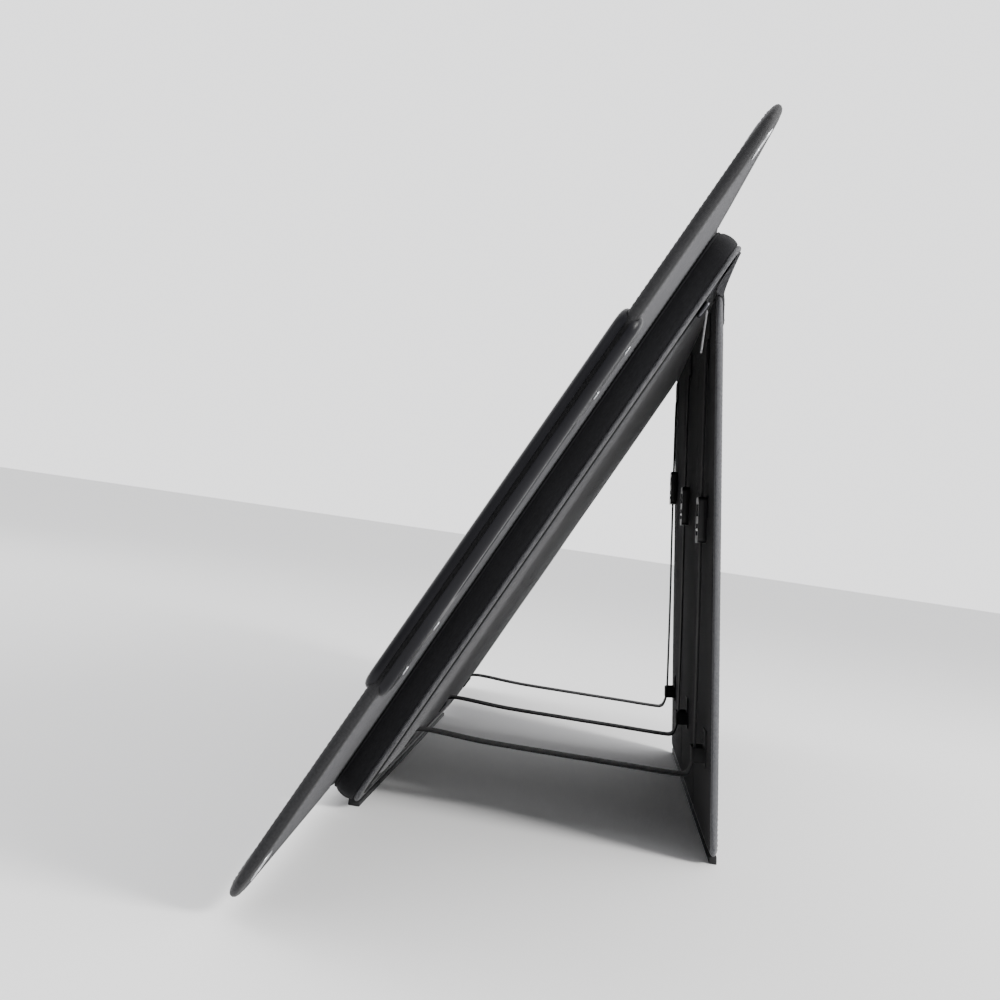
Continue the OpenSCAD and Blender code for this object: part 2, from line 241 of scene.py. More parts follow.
def moulded(name, base, rough=0.42, texture=0.35, coat=0.0, metal=0.0, gloss=0.5):
    """Moulded plastic, rubber or metal: spark-eroded grain and faint smudges."""
    paint = Shader(name)
    plain = paint.coords(1, 1, 1)
    grain, smudge = paint.noise(plain, 1400, 4), paint.noise(plain, 26, 3)
    darker, lighter = tuple(c * 0.82 for c in base), tuple(min(1, c * 1.16) for c in base)
    paint.drive("Base Color", paint.ramp(smudge, (0.3, darker), (0.7, lighter)))
    fine = paint.calc("ADD", paint.calc("MULTIPLY", grain, 0.16), rough - 0.16)
    paint.drive("Roughness", paint.calc("ADD", paint.calc("MULTIPLY", smudge, 0.16), fine))
    paint.bump(grain, texture, 0.12 * MM)
    return paint.constants({"Metallic": metal, "Specular IOR Level": gloss, "Coat Weight": coat,
                            "Coat Roughness": 0.25})


def cell_material():
    """Monocrystalline silicon: near-black blue with fine printed fingers."""
    paint = Shader("cells")
    plain = paint.coords(1, 1, 1)
    tone = paint.noise(plain, 12, 2)
    silicon = paint.ramp(tone, (0.3, (0.006, 0.009, 0.02)), (0.7, (0.012, 0.018, 0.042)))
    line = paint.ramp(paint.band(plain, "Z", 1.6 * MM), (0.9, (0, 0, 0)), (0.98, (1, 1, 1)))
    paint.drive("Base Color", paint.mix("MIX", line, silicon, (0.05, 0.055, 0.065)))
    dimples = paint.add("TexVoronoi", Scale=620)
    paint.links.new(plain, dimples.inputs["Vector"])
    paint.bump(dimples.outputs["Distance"], 0.25, 0.15 * MM)
    return paint.constants({"Roughness": 0.3, "Specular IOR Level": 0.22, "Coat Weight": 0.2,
                            "Coat Roughness": 0.12})


HEATHER = woven("heather", (0.018, 0.018, 0.021), (0.084, 0.085, 0.092), melange=0.9, sheen=0.08)
PAD = woven("pad_heather", (0.030, 0.030, 0.033), (0.130, 0.131, 0.139), melange=0.9, sheen=0.15)
FLAP_TOP = woven("flap_heather", (0.024, 0.024, 0.027), (0.105, 0.106, 0.113), melange=0.9, sheen=0.2)
GUSSET = woven("gusset", (0.004, 0.004, 0.005), (0.013, 0.013, 0.015), thread=0.7 * MM, sheen=0.05)
LINING = woven("lining", (0.005, 0.005, 0.006), (0.017, 0.017, 0.020), thread=0.6 * MM, sheen=0.08)
BORDER = woven("border", (0.006, 0.006, 0.007), (0.024, 0.024, 0.027), thread=0.8 * MM, sheen=0.1)
BINDING = ribbed("binding", (0.005, 0.005, 0.006), (0.020, 0.020, 0.022), 0.9 * MM, sheen=0.08)
PALE_BINDING = ribbed("pale_binding", (0.045, 0.046, 0.050), (0.150, 0.152, 0.162), 0.9 * MM)
PIPING = woven("piping", (0.034, 0.034, 0.037), (0.150, 0.151, 0.160), thread=0.7 * MM, melange=0.9)
WEBBING = ribbed("webbing", (0.003, 0.003, 0.004), (0.012, 0.012, 0.013), 1.2 * MM, axis="Y", sheen=0.05)
TAPE = ribbed("zipper_tape", (0.003, 0.003, 0.004), (0.010, 0.010, 0.011), 0.9 * MM)
THREAD = ribbed("thread", (0.025, 0.025, 0.028), (0.085, 0.086, 0.092), 0.5 * MM)
PULL_CORD = ribbed("pull_cord", (0.10, 0.10, 0.105), (0.30, 0.30, 0.31), 0.8 * MM)
HANDLE = moulded("handle_plastic", (0.007, 0.007, 0.009), rough=0.36, texture=0.2, coat=0.03, gloss=0.12)
BUCKLE = moulded("buckle_plastic", (0.006, 0.006, 0.007), rough=0.36, texture=0.2, gloss=0.3)
RUBBER = moulded("rubber", (0.009, 0.009, 0.010), rough=0.72, texture=0.6)
STEEL = moulded("steel", (0.56, 0.57, 0.59), rough=0.30, texture=0.1, metal=1.0)
GUNMETAL = moulded("gunmetal", (0.10, 0.10, 0.11), rough=0.34, texture=0.1, metal=1.0)
RIBBON = moulded("cell_ribbon", (0.26, 0.265, 0.28), rough=0.35, texture=0.1, metal=1.0)
BACKSHEET = moulded("backsheet", (0.010, 0.011, 0.014), rough=0.35, texture=0.3, coat=0.2, gloss=0.2)
CELLS = cell_material()
CORE = moulded("board_core", (0.10, 0.10, 0.11), rough=0.7, texture=0.6)
HOUSING = moulded("housing_plastic", (0.03, 0.03, 0.033), rough=0.45)
MASK = moulded("solder_mask", (0.02, 0.13, 0.06), rough=0.3, texture=0.1, coat=0.5)


# ---- mesh helpers


def added(name, data):
    """New object in the scene."""
    obj = bpy.data.objects.new(name, data)
    bpy.context.scene.collection.objects.link(obj)
    return obj


def closed_mesh(name, points, faces):
    """Mesh with doubled points merged and its normals facing out."""
    mesh = bpy.data.meshes.new(name)
    mesh.from_pydata([tuple(p) for p in points], [], [tuple(int(i) for i in f) for f in faces])
    shaped = bmesh.new()
    shaped.from_mesh(mesh)
    bmesh.ops.remove_doubles(shaped, verts=shaped.verts, dist=1e-6)
    bmesh.ops.recalc_face_normals(shaped, faces=shaped.faces)
    shaped.to_mesh(mesh)
    shaped.free()
    return mesh


def piece(name, points, faces, material, body, slot, replaces=(), sharp=40):
    """New object from world points, smooth-shaded, that rides on a body."""
    obj = added(name, closed_mesh(name, points, faces))
    return finish_piece(obj, material, body, replaces, sharp)


def finish_piece(obj, material, body, replaces=(), sharp=40):
    obj.data.materials.clear()
    obj.data.materials.append(material)
    obj.data.shade_smooth()
    obj.data.set_sharp_from_angle(angle=math.radians(sharp))
    if body:
        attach(obj, body)
    if replaces:
        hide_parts(*replaces)
    return obj


def apply_modifiers(obj):
    bpy.context.view_layer.update()
    evaluated = obj.evaluated_get(bpy.context.evaluated_depsgraph_get())
    mesh = bpy.data.meshes.new_from_object(evaluated)
    obj.modifiers.clear()
    obj.data = mesh


def softened(node, material, body, width):
    """A CAD part with its edges rounded, which replaces the sharp one."""
    obj = added(node + "_part", frame["nodes"][node].data.copy())
    shaped = bmesh.new()
    shaped.from_mesh(obj.data)
    bmesh.ops.remove_doubles(shaped, verts=shaped.verts, dist=2e-6)
    bmesh.ops.dissolve_limit(shaped, angle_limit=math.radians(1), verts=shaped.verts, edges=shaped.edges)
    shaped.to_mesh(obj.data)
    shaped.free()
    bevel = obj.modifiers.new("bevel", "BEVEL")
    bevel.width = width
    bevel.segments = 2
    bevel.limit_method = "ANGLE"
    bevel.angle_limit = math.radians(35)
    apply_modifiers(obj)
    return finish_piece(obj, material, body, (node,), 45)


def smooth_noise(x, z, size, seed):
    """Value noise from -1 to 1 with features of about the given size."""
    lattice = np.random.default_rng(seed).uniform(-1, 1, (64, 64))
    u, v = np.asarray(x) / size + 31.7, np.asarray(z) / size + 17.3
    i, j = np.floor(u).astype(int), np.floor(v).astype(int)
    a, b = u - i, v - j
    a, b = a * a * (3 - 2 * a), b * b * (3 - 2 * b)
    i, j = i % 63, j % 63
    low = lattice[i, j] * (1 - a) + lattice[i + 1, j] * a
    high = lattice[i, j + 1] * (1 - a) + lattice[i + 1, j + 1] * a
    return low * (1 - b) + high * b


def shell_faces(n, m):
    """Faces of a closed shell: two grids of n by m points, one after the other, and their rim."""
    index = np.arange(n * m).reshape(n, m)
    faces = []
    for shift in (0, n * m):
        g = index + shift
        quads = np.stack([g[:-1, :-1], g[:-1, 1:], g[1:, 1:], g[1:, :-1]], axis=-1)
        faces.extend(quads.reshape(-1, 4).tolist())
    rim = np.concatenate([index[0], index[1:, -1], index[-1, -2::-1], index[-2:0:-1, 0]])
    after = np.roll(rim, -1)
    faces.extend(np.stack([rim, after, after + n * m, rim + n * m], axis=-1).tolist())
    return faces


def panel(lo, hi, radius, front, back, step=5 * MM):
    """Closed rounded rectangle between two height fields front(x, z) and back(x, z)."""
    right, left = pair(radius)
    widest = max(right, left)
    turns = widest * (1 - np.cos(np.linspace(0, math.pi / 2, 7)))
    inner = np.linspace(lo[1] + widest, hi[1] - widest, max(3, int((hi[1] - lo[1]) / step)))
    rows = np.concatenate([lo[1] + turns[:-1], inner, (hi[1] - turns[:-1])[::-1]])
    count = max(8, int((hi[0] - lo[0]) / step))
    share = np.linspace(0, 1, count)
    gap = np.minimum(rows - lo[1], hi[1] - rows)
    start, end = (r - np.sqrt(np.maximum(r**2 - (r - np.minimum(gap, r)) ** 2, 0)) for r in (left, right))
    x = (lo[0] + start)[:, None] + share[None, :] * (hi[0] - lo[0] - start - end)[:, None]
    z = np.repeat(rows[:, None], count, axis=1)
    sides = [np.stack([x, np.broadcast_to(f(x, z), x.shape), z], axis=-1) for f in (front, back)]
    points = np.concatenate([s.reshape(-1, 3) for s in sides])
    return points, shell_faces(*x.shape)


def loop_path(lo, hi, radius, step=8 * MM, corner=8):
    """Points and outward normals around a rounded rectangle, in x and z."""
    points, normals = [], []
    right, left = pair(radius)
    middles = [
        ((hi[0] - right, lo[1] + right), -90, right),
        ((hi[0] - right, hi[1] - right), 0, right),
        ((lo[0] + left, hi[1] - left), 90, left),
        ((lo[0] + left, lo[1] + left), 180, left),
    ]
    for middle, start, reach in middles:
        for angle in np.radians(np.linspace(start, start + 90, corner + 1)):
            normal = np.array([math.cos(angle), math.sin(angle)])
            points.append(np.array(middle) + reach * normal)
            normals.append(normal)
    return resample(np.array(points), np.array(normals), step, closed=True)


def resample(points, normals, step, closed=False):
    """The same path with extra points on its long stretches."""
    out_p, out_n = [], []
    last = len(points) if closed else len(points) - 1
    for i in range(last):
        j = (i + 1) % len(points)
        gap = np.linalg.norm(points[j] - points[i])
        count = max(1, int(round(gap / step)))
        for k in range(count):
            f = k / count
            out_p.append(points[i] * (1 - f) + points[j] * f)
            n = normals[i] * (1 - f) + normals[j] * f
            out_n.append(n / np.linalg.norm(n))
    if not closed:
        out_p.append(points[-1])
        out_n.append(normals[-1])
    return np.array(out_p), np.array(out_n)


def sweep(path, out, side, profile, closed=False):
    """Sweeps a closed profile of (out, side) offsets along world points."""
    rings = [p + u * np.array(o) + v * np.array(s)
             for p, o, s in zip(path, out, side) for u, v in profile]
    count, size = len(path), len(profile)
    faces = []
    for i in range(count if closed else count - 1):
        a, b = i * size, (i + 1) % count * size
        for k in range(size):
            l = (k + 1) % size
            faces.append((a + k, a + l, b + l, b + k))
    if not closed:
        faces.append(tuple(range(size))[::-1])
        faces.append(tuple((count - 1) * size + k for k in range(size)))
    return rings, faces


def flat_loop(place, lo, hi, radius, depth, step=8 * MM):
    """World path, outward normals and rear directions around a rounded rectangle."""
    return laid(place, *loop_path(lo, hi, radius, step), depth)


def laid(place, points, normals, depth):
    """The world path, normals and rear directions of a path in x and z."""
    level = np.full(len(points), depth)
    path = place.at(np.stack([points[:, 0], level, points[:, 1]], axis=1))
    out = np.stack([normals[:, 0], 0 * level, normals[:, 1]], axis=1) @ place.axes
    side = np.repeat(np.array([place.y]), len(points), axis=0)
    return path, out, side


def circle(radius, count=12):
    turn = np.linspace(0, 2 * math.pi, count, endpoint=False)
    return [(radius * math.cos(t), radius * math.sin(t)) for t in turn]


def joined(parts):
    """One list of points and faces from several."""
    points, faces = [], []
    for part_points, part_faces in parts:
        shift = len(points)
        points.extend(part_points)
        faces.extend([tuple(i + shift for i in f) for f in part_faces])
    return points, faces


def stitches(path, out, side, pitch=4 * MM, length=2.6 * MM, thick=0.35 * MM, closed=True):
    """A row of short thread lengths that lie on a surface along a path."""
    path = np.asarray(path)
    ends = np.vstack([path, path[:1]]) if closed else path
    gaps = np.linalg.norm(np.diff(ends, axis=0), axis=1)
    along = np.concatenate([[0], np.cumsum(gaps)])
    parts = []
    for at in np.arange(pitch / 2, along[-1] - pitch / 2, pitch):
        i = min(int(np.searchsorted(along, at)) - 1, len(gaps) - 1)
        f = (at - along[i]) / gaps[i]
        middle = ends[i] * (1 - f) + ends[i + 1] * f
        t = (ends[i + 1] - ends[i]) / gaps[i]
        o, s = np.array(out[i % len(out)]), np.array(side[i % len(side)])
        ring = [(0, thick), (thick, 0), (0, -thick), (-thick, 0)]
        verts = [middle - t * length / 2, middle + t * length / 2]
        for shift in (-0.3, 0.3):
            verts += [middle + t * length * shift + o * u + s * v for u, v in ring]
        faces = [(2 + k, 2 + (k + 1) % 4, 6 + (k + 1) % 4, 6 + k) for k in range(4)]
        faces += [(0, 2 + (k + 1) % 4, 2 + k) for k in range(4)]
        faces += [(1, 6 + k, 6 + (k + 1) % 4) for k in range(4)]
        parts.append((verts, faces))
    return joined(parts)


def cut(obj, cutters):
    """Takes each cutter out of obj, then deletes it."""
    for cutter in cutters:
        boolean = obj.modifiers.new("cut", "BOOLEAN")
        boolean.operation = "DIFFERENCE"
        boolean.solver = "EXACT"
        boolean.object = cutter
        apply_modifiers(obj)
        bpy.data.objects.remove(cutter)


def slab(place, outline, y0, y1):
    """Points and faces of a solid between two depths over an outline in x and z."""
    count = len(outline)
    points = [(x, y, z) for y in (y0, y1) for x, z in outline]
    faces = [tuple(range(count)), tuple(range(count, 2 * count))[::-1]]
    faces += [(k, (k + 1) % count, count + (k + 1) % count, count + k) for k in range(count)]
    return list(place.at(points)), faces


def prism(place, outline, y0, y1):
    """The same solid as an object to cut with."""
    return added("cutter", closed_mesh("cutter", *slab(place, outline, y0, y1)))


def stadium(middle, length, width, count=12):
    """Outline with round ends, its length along z."""
    straight = (length - width) / 2
    outline = []
    for start, shift in ((0, straight), (180, -straight)):
        for angle in np.radians(np.linspace(start, start + 180, count)):
            x, z = width / 2 * math.cos(angle), width / 2 * math.sin(angle)
            outline.append((middle[0] + x, middle[1] + shift + z))
    return outline


def pair(radius):
    """Corner radii of the right-hand and left-hand sides."""
    return radius if isinstance(radius, tuple) else (radius, radius)


def flat(level):
    return lambda x, z: np.full(np.shape(x), level)


def catmull(points, per_gap=8):
    """Smooth curve through a few points."""
    p = np.asarray(points, float)
    p = np.vstack([2 * p[0] - p[1], p, 2 * p[-1] - p[-2]])
    out = []
    for i in range(1, len(p) - 2):
        for k in range(per_gap):
            t = k / per_gap
            a, b, c, d = p[i - 1 : i + 3]
            out.append(
                0.5 * (2 * b + (c - a) * t + (2 * a - 5 * b + 4 * c - d) * t**2
                       + (3 * b - a - 3 * c + d) * t**3)
            )
    return np.array(out + [p[-2]])


def normals_along(line, across):
    """Unit vectors square to a curve and to the vector across."""
    tangent = np.gradient(line, axis=0)
    tangent /= np.linalg.norm(tangent, axis=1)[:, None]
    return np.cross(tangent, np.array(across))


def strap(points, width, thick):
    """Flat band of webbing along a curve that keeps to one x."""
    path = np.asarray(points, float)
    out = normals_along(path, ACROSS)
    half, t = width / 2, thick / 2
    profile = [(-t, -half + t), (-t * 0.6, -half), (t * 0.6, -half), (t, -half + t)]
    profile += [(t, 0), (t, half - t), (t * 0.6, half), (-t * 0.6, half), (-t, half - t)]
    profile += [(-t, 0)]
    return sweep(path, out, np.repeat([np.array(ACROSS)], len(path), axis=0), profile)


def wall_profile(width, half):
    """Cross-section of a binding that is folded over an edge."""
    w, h = width, half
    front = [(-w, 0.78 * h), (-0.93 * w, 0.95 * h), (-0.66 * w, h), (-0.28 * w, 0.98 * h)]
    front += [(-0.09 * w, 0.78 * h), (0, 0.36 * h)]
    return front + [(u, -v) for u, v in front[::-1]]


def pinched(points, place, corners, middle, profile, width):
    """Presses the binding flatter towards each corner, as a folded tape lies there."""
    local = place.local(points)
    near = np.full(len(local), 1.0)
    for x in (corners[0][0], corners[1][0]):
        for z in (corners[0][1], corners[1][1]):
            near = np.minimum(near, np.hypot(local[:, 0] - x, local[:, 2] - z))
    close = np.clip(1 - (near - 8 * MM) / (34 * MM), 0, 1) ** 1.5
    outer = np.tile([max(0, 1 + u / (0.7 * width)) for u, _ in profile], len(points) // len(profile))
    local[:, 1] = middle + (local[:, 1] - middle) * (1 - 0.5 * close * outer)
    return place.at(local)


def bound_edge(name, node, place, radius, width, material, body, slot, thread=THREAD):
    """Folded binding around a panel, with a stitched row on each face."""
    lo, hi = place.box(node)
    middle, half = (lo[1] + hi[1]) / 2, (hi[1] - lo[1]) / 2
    corners = within(lo, hi)
    path, out, side = flat_loop(place, *corners, radius, middle, 6 * MM)
    profile = wall_profile(width, half)
    points, faces = sweep(path, out, side, profile, closed=True)
    points = pinched(np.array(points), place, corners, middle, profile, width)
    piece(name, points, faces, material, body, slot, (node,), 60)
    rows = []
    inset = 0.72 * width
    inner = tuple(r - inset for r in pair(radius))
    for level in (lo[1] + 0.1 * MM, hi[1] - 0.1 * MM):
        rows.append(stitches(*flat_loop(place, *within(lo, hi, inset), inner, level, 6 * MM)))
    piece(name + "_stitches", *joined(rows), thread, body, slot)


def within(lo, hi, inset=0):
    """Corners in x and z of a box in a frame, moved in by inset."""
    return (lo[0] + inset, lo[2] + inset), (hi[0] - inset, hi[2] - inset)


def rectangle(lo, hi):
    return [(lo[0], lo[1]), (hi[0], lo[1]), (hi[0], hi[1]), (lo[0], hi[1])]


def set_material(node, material):
    mesh = frame["nodes"][node].data
    mesh.materials.clear()
    mesh.materials.append(material)
    mesh.shade_smooth()
    mesh.set_sharp_from_angle(angle=math.radians(30))


# ---- camera, floor and light


def aim(obj, place, target, up=(0, 0, 1)):
    place, target = Vector(place), Vector(target)
    forward = (target - place).normalized()
    right = forward.cross(Vector(up)).normalized()
    top = right.cross(forward)
    turn = Matrix((right, top, -forward)).transposed().to_4x4()
    obj.matrix_world = Matrix.Translation(place) @ turn


CAMERA_AT, CAMERA_TO = (1.3015, 0.0345, 0.2356), (0, -0.075, 0.2653)
CAMERA_UP = (0.0346, -0.1427, 0.9892)
MIDDLE = (0, 0, 0.25)
FLOOR_RADIUS = 30
camera_data = bpy.data.cameras.new("camera")
camera_data.lens = 46.39
camera_data.sensor_width = 36
camera_data.clip_end = 60
camera = added("camera", camera_data)
aim(camera, CAMERA_AT, CAMERA_TO, CAMERA_UP)
bpy.context.scene.camera = camera


def area_light(name, place, size, power, colour):
    data = bpy.data.lights.new(name, "AREA")
    data.shape = "DISK"
    data.size = size
    data.energy = power
    data.color = colour
    aim(added(name, data), place, MIDDLE)


area_light("key", (0.9, 2.2, 1.6), 1.1, 95, (1.0, 0.99, 0.97))
area_light("side", (2.4, -1.0, 1.6), 1.6, 9, (0.97, 0.98, 1.0))
area_light("front", (-1.2, -2.4, 1.6), 1.8, 20, (1.0, 1.0, 1.0))


def studio_world():
    """Bright backdrop on the left-hand side of the room, dimmer towards the right."""
    world = bpy.data.worlds.new("studio")
    world.use_nodes = True
    nodes, links = world.node_tree.nodes, world.node_tree.links
    coords = nodes.new("ShaderNodeTexCoord")
    split = nodes.new("ShaderNodeSeparateXYZ")
    links.new(coords.outputs["Generated"], split.inputs["Vector"])
    level = nodes.new("ShaderNodeMapRange")
    for socket, value in (("From Min", -0.45), ("From Max", 0.6), ("To Min", 2.05), ("To Max", 0.6)):
        level.inputs[socket].default_value = value
    links.new(split.outputs["X"], level.inputs["Value"])
    links.new(level.outputs["Result"], nodes["Background"].inputs["Strength"])
    nodes["Background"].inputs["Color"].default_value = (0.99, 0.99, 1.0, 1)
    bpy.context.scene.world = world


studio_world()

floor_mesh = bpy.data.meshes.new("floor")
floor_mesh.from_pydata([(x, y, 0) for x, y in circle(FLOOR_RADIUS, 96)], [], [tuple(range(96))])
floor_finish = {"Base Color": (0.91, 0.91, 0.91, 1), "Roughness": 0.9, "Specular IOR Level": 0.1}
floor_mesh.materials.append(Shader("floor").constants(floor_finish))
floor = added("floor", floor_mesh)


# ---- array sections


BINDING_W = 9 * MM
SLOT_IN, SLOT_L, SLOT_W = 31.5 * MM, 122 * MM, 28 * MM
EYELET_R = 6.5 * MM


def wing_cutters(side, place, y0, y1):
    """Cutters for a wing's hand slot and eyelets."""
    lo, hi = place.box(f"{side}_handle_back")
    middle = (hi[0] - SLOT_IN, (lo[2] + hi[2]) / 2)
    cutters = [prism(place, stadium(middle, SLOT_L, SLOT_W), y0, y1)]
    for level in ("lower", "upper"):
        x, _, z = place.local(MOUNTS[f"{side}_{level}_eyelet"]["pos_m"])
        cutters.append(prism(place, [(x + u, z + v) for u, v in circle(EYELET_R, 24)], y0, y1))
    return cutters


def array_section(name, body, place, radius, columns, rows):
    lo, hi = place.box(f"{name}_binding")
    inset = BINDING_W - 0.6 * MM
    low, high = within(lo, hi, inset)
    inner = tuple(max(r - inset, 0.6 * MM) for r in pair(radius))
    skin_lo, skin_hi = place.box(f"{name}_back_cover")
    seed = len(name)

    def back(x, z):
        edge = np.minimum.reduce([x - low[0], high[0] - x, z - low[1], high[1] - z])
        return skin_hi[1] + 0.16 * MM * smooth_noise(x, z, 46 * MM, seed) * np.clip(edge / 0.02, 0, 1)

    points, faces = panel(low, high, inner, flat(skin_lo[1] + 0.02 * MM), back, 8 * MM)
    cover = piece(f"{name}_rear_fabric", place.at(points), faces, HEATHER, None, "heather_fabric")
    front_lo, front_hi = place.box(f"{name}_front_cover")

    def face(x, z):
        return front_lo[1] + 0.1 * MM * smooth_noise(x, z, 38 * MM, seed + 3)

    points, faces = panel(low, high, inner, face, flat(front_hi[1] - 0.02 * MM), 8 * MM)
    border = piece(f"{name}_front_fabric", place.at(points), faces, BORDER, None, "border_fabric")
    window_lo, window_hi = place.box(f"{name}_laminate")
    window = rectangle(*within(window_lo, window_hi))
    cut(border, [prism(place, window, front_lo[1] - 0.01, front_hi[1] + 0.01)])
    if name in SIDES:
        cut(cover, wing_cutters(name, place, skin_lo[1] - 0.01, skin_hi[1] + 0.01))
        cut(border, wing_cutters(name, place, front_lo[1] - 0.01, front_hi[1] + 0.01))
    finish_piece(cover, HEATHER, body, (f"{name}_back_cover",))
    finish_piece(border, BORDER, body, (f"{name}_front_cover",))
    set_material(f"{name}_laminate", BACKSHEET)
    set_material(f"{name}_board", CORE)
    bound_edge(f"{name}_edge_binding", f"{name}_binding", place, radius, BINDING_W, BINDING, body,
               "binding_tape")
    cells(name, body, place, window_lo, window_hi, columns, rows)


def cells(name, body, place, lo, hi, columns, rows):
    """Chamfered cells in strings, with three ribbons down each column."""
    gap, chamfer, front = 4 * MM, 9 * MM, lo[1] - 0.16 * MM
    pitch = ((hi[0] - lo[0] - gap) / columns, (hi[2] - lo[2] - gap) / rows)
    plates, ribbons = [], []
    for i in range(columns):
        x0, x1 = lo[0] + gap + i * pitch[0], lo[0] + (i + 1) * pitch[0]
        for j in range(rows):
            z0, z1 = lo[2] + gap + j * pitch[1], lo[2] + (j + 1) * pitch[1]
            outline = [(x0 + chamfer, z0), (x1 - chamfer, z0), (x1, z0 + chamfer)]
            outline += [(x1, z1 - chamfer), (x1 - chamfer, z1), (x0 + chamfer, z1)]
            outline += [(x0, z1 - chamfer), (x0, z0 + chamfer)]
            plates.append(slab(place, outline, front, lo[1] + 0.3 * MM))
        for share in (0.2, 0.5, 0.8):
            x = x0 + share * (x1 - x0)
            outline = rectangle((x - 0.7 * MM, lo[2] + 1 * MM), (x + 0.7 * MM, hi[2] - 1 * MM))
            ribbons.append(slab(place, outline, front - 0.08 * MM, lo[1] + 0.3 * MM))
    piece(f"{name}_cells", *joined(plates), CELLS, body, "cell_laminate")
    piece(f"{name}_ribbons", *joined(ribbons), RIBBON, body, "cell_laminate")


array_section("centre", "case", LEAN, 10 * MM, 5, 4)
for wing in SIDES:
    array_section(wing, f"{wing}_wing", WINGS[wing], (20 * MM, 10 * MM), 2, 4)

FOLD_SHORT = 8 * MM
for wing, sign in SIDES.items():
    lo, hi = LEAN.box(f"{wing}_fold_strip")
    level = (lo[1] + hi[1]) / 2
    bulge = lambda x, z: level - 0.35 * MM - 0.25 * MM * np.sin(math.pi * (x - lo[0]) / (hi[0] - lo[0]))
    low, high = (lo[0], lo[2] + FOLD_SHORT), (hi[0], hi[2] - FOLD_SHORT)
    points, faces = panel(low, high, 0.3 * MM, bulge, flat(level + 0.4 * MM), 0.5 * MM)
    strip = piece(f"{wing}_fold_fabric", LEAN.at(points), faces, BINDING, None, "binding_tape")
    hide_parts(f"{wing}_fold_strip")
    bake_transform(strip)


def handle_shell(side, half):
    """One moulded half: rounded over its rim, its ends and the hand slot, with a lip at the free edge."""
    place, node = WINGS[side], f"{side}_handle_{half}"
    lo, hi = place.box(node)
    edge_lo, edge_hi = place.box(f"{side}_binding")
    rear = half == "back"
    face, lip = (hi[1], lo[1]) if rear else (lo[1], hi[1])
    inner_face = edge_hi[1] + 0.05 * MM if rear else edge_lo[1] - 0.05 * MM
    sign = 1 if rear else -1
    corner, rim, slot_rim = 14 * MM, 5.5 * MM, 4 * MM
    middle = ((lo[0] + hi[0]) / 2, (lo[2] + hi[2]) / 2)
    reach = ((hi[0] - lo[0]) / 2 - corner, (hi[2] - lo[2]) / 2 - corner)
    slot_x, slot_l, slot_w = hi[0] - SLOT_IN, 118 * MM, 24 * MM

    def fall(distance, width):
        near = 1 - np.clip(distance, 0, width) / width
        return 1 - np.sqrt(1 - np.minimum(near, 1) ** 2)

    def outer(x, z):
        qx, qz = abs(x - middle[0]) - reach[0], abs(z - middle[1]) - reach[1]
        inside = corner - np.hypot(np.maximum(qx, 0), np.maximum(qz, 0)) - np.minimum(np.maximum(qx, qz), 0)
        along = np.maximum(abs(z - middle[1]) - (slot_l - slot_w) / 2, 0)
        hole = np.hypot(x - slot_x, along) - slot_w / 2
        drop = np.maximum(3.2 * MM * fall(inside, rim), 2.3 * MM * fall(hole, slot_rim))
        return face - sign * drop

    def inner(x, z):
        share = np.clip((x - edge_hi[0] - 0.2 * MM) / (1.2 * MM), 0, 1)
        return inner_face * (1 - share) + lip * share

    sides = (inner, outer) if rear else (outer, inner)
    points, faces = panel((lo[0], lo[2]), (hi[0], hi[2]), corner, *sides, 1.8 * MM)
    shell = piece(f"{node}_shell", place.at(points), faces, HANDLE, None, "handle_plastic")
    outline = stadium((slot_x, middle[1]), slot_l, slot_w, 20)
    cut(shell, [prism(place, outline, lo[1] - 0.01, hi[1] + 0.01)])
    finish_piece(shell, HANDLE, f"{side}_wing", (node,), 50)


for wing in SIDES:
    for half in ("front", "back"):
        handle_shell(wing, half)
    softened(f"{wing}_handle_screws", STEEL, f"{wing}_wing", 0.3 * MM)
    softened(f"{wing}_eyelets", STEEL, f"{wing}_wing", 0.3 * MM)


# ---- case


CASE_R = 24 * MM
softened("case_front_panel", GUSSET, "case", 0.8 * MM)


def gusset():
    lo, hi = LEAN.box("case_gusset")
    wall = 3 * MM
    path, out, side = flat_loop(LEAN, *within(lo, hi), CASE_R, 0, 5 * MM)
    path, out, side = (np.array(v) for v in (path, out, side))
    steps = np.linspace(0, 1, 13)
    profile = [(0, v) for v in steps] + [(-wall, v) for v in steps[::-1]]
    along = np.cumsum(np.linalg.norm(np.diff(path, axis=0, prepend=path[-1:]), axis=1))
    corner = np.clip((1 - np.abs(out @ np.array([LEAN.x, LEAN.z]).T).max(1)) / 0.29, 0, 1)
    points = []
    ends = np.abs(out @ np.array(LEAN.z))
    for p, o, s, a, c, end in zip(path, out, side, along, corner, ends):
        for u, v in profile:
            swell = math.sin(math.pi * v) ** 0.7 if u == 0 else 0
            ripple = 0.5 * c * math.sin(a / (1.15 * MM))
            ripple += 0.22 * float(smooth_noise(a, v * 0.02, 24 * MM, 7))
            depth = lo[1] + v * (hi[1] - lo[1])
            points.append(p + o * (u + swell * (0.8 + 1.5 * end + ripple) * MM) + s * depth)
    size, count = len(profile), len(path)
    faces = []
    for i in range(count):
        a, b = i * size, (i + 1) % count * size
        faces += [(a + k, a + (k + 1) % size, b + (k + 1) % size, b + k) for k in range(size)]
    piece("case_side_fabric", points, faces, GUSSET, "case", "gusset_fabric", ("case_gusset",), 60)


gusset()


